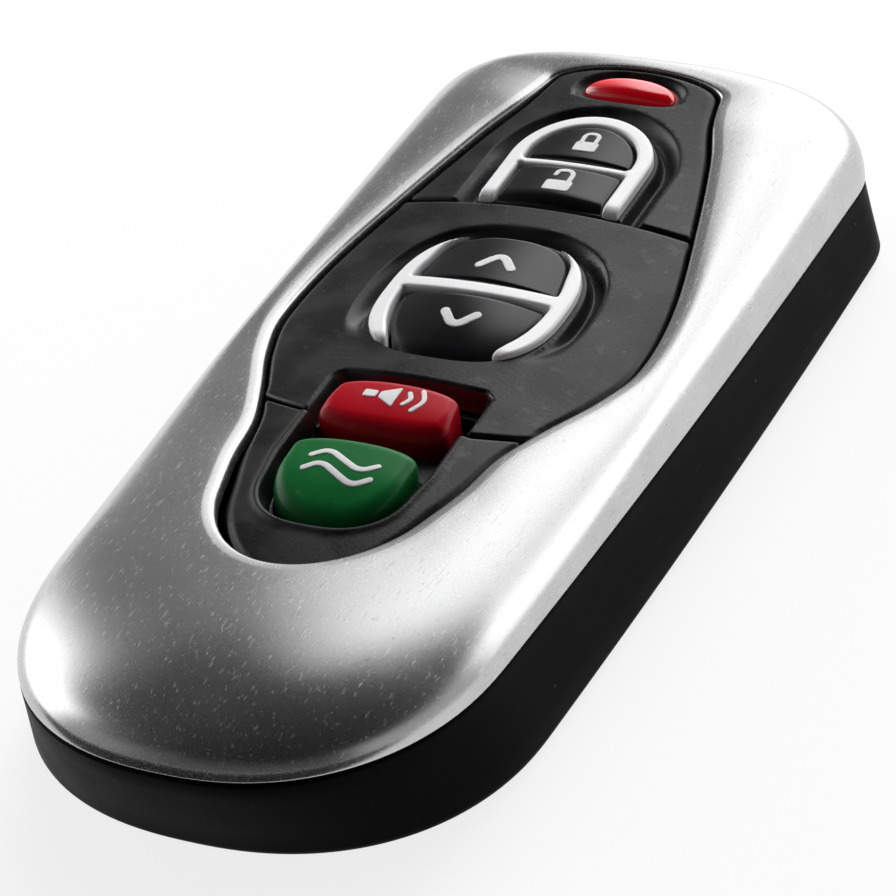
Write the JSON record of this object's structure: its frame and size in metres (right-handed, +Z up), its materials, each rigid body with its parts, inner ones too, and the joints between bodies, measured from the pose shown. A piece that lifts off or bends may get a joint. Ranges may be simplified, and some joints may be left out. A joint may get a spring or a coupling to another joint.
{
  "type": "car key fob",
  "caption": "Pebble-shaped remote key with a silver cover, black key panels, sprung push buttons, an indicator lens and a coin-cell door.",
  "frame": {"origin": "under the middle of the case, on the plane it lies on", "axes": "+Y toward the indicator lens and keyring pin, +X to the right seen from above, +Z up through the buttons"},
  "size_m": [0.038, 0.084, 0.0128],
  "materials": {
    "case_black": "satin black moulded plastic",
    "seal_rubber": "red-brown silicone ring",
    "cell_steel": "nickel-plated steel",
    "contact_brass": "sprung contact strip",
    "board": "green solder mask",
    "chip": "black chip package",
    "ferrite": "dark ferrite",
    "copper": "enamelled copper wire",
    "ceramic": "ceramic chip parts",
    "led_white": "moulded light chip",
    "silicone": "dark grey silicone",
    "panel_soft": "soft-touch charcoal",
    "lens_red": "glossy red translucent lens",
    "trim_white": "bright white trim",
    "key_graphite": "graphite, semi-gloss, printed signs",
    "key_red": "crimson gloss",
    "key_green": "green gloss",
    "cover_silver": "satin silver with fine flecks",
    "screw_steel": "plain steel"
  },
  "bodies": {
    "case": {"base_case": "case_black", "coin_cell": "cell_steel", "positive_contact": "contact_brass", "negative_contact": "contact_brass", "pcb": "board", "microcontroller": "chip", "rf_chip": "chip", "crystal": "cell_steel", "coil_core": "ferrite", "coil_winding": "copper", "capacitors": "ceramic", "led": "led_white", "keypad_mat": "silicone", "lock_dome": "silicone", "unlock_dome": "silicone", "up_dome": "silicone", "down_dome": "silicone", "red_dome": "silicone", "green_dome": "silicone", "carrier": "case_black", "upper_panel": "panel_soft", "middle_panel": "panel_soft", "lower_panel": "panel_soft", "indicator_lens": "lens_red", "upper_trim": "trim_white", "middle_trim": "trim_white", "top_cover": "cover_silver", "case_screws": "screw_steel", "keyring_pin": "screw_steel"},
    "door": {"battery_door": "case_black", "door_seal": "seal_rubber"},
    "lock_key": {"lock_button": "key_graphite"},
    "unlock_key": {"unlock_button": "key_graphite"},
    "up_key": {"up_button": "key_graphite"},
    "down_key": {"down_button": "key_graphite"},
    "red_key": {"red_button": "key_red"},
    "green_key": {"green_button": "key_green"}
  },
  "joints": [
    {"name": "lock_press", "type": "slide", "parent": "case", "child": "lock_key", "axis": [0, 0, -1], "range_m": [0, 0.0005], "stiffness_N_per_m": 3000, "springref_m": -0.0003, "deforming": ["lock_dome"]},
    {"name": "unlock_press", "type": "slide", "parent": "case", "child": "unlock_key", "axis": [0, 0, -1], "range_m": [0, 0.0005], "stiffness_N_per_m": 3000, "springref_m": -0.0003, "deforming": ["unlock_dome"]},
    {"name": "up_press", "type": "slide", "parent": "case", "child": "up_key", "axis": [0, 0, -1], "range_m": [0, 0.0005], "stiffness_N_per_m": 3000, "springref_m": -0.0003, "deforming": ["up_dome"]},
    {"name": "down_press", "type": "slide", "parent": "case", "child": "down_key", "axis": [0, 0, -1], "range_m": [0, 0.0005], "stiffness_N_per_m": 3000, "springref_m": -0.0003, "deforming": ["down_dome"]},
    {"name": "red_press", "type": "slide", "parent": "case", "child": "red_key", "axis": [0, 0, -1], "range_m": [0, 0.0005], "stiffness_N_per_m": 3000, "springref_m": -0.0003, "deforming": ["red_dome"]},
    {"name": "green_press", "type": "slide", "parent": "case", "child": "green_key", "axis": [0, 0, -1], "range_m": [0, 0.0005], "stiffness_N_per_m": 3000, "springref_m": -0.0003, "deforming": ["green_dome"]},
    {"name": "door_twist", "type": "hinge", "parent": "case", "child": "door", "pos_m": [0, -0.006, 0.0007], "axis": [0, 0, 1], "range_deg": [0, 45]}
  ]
}
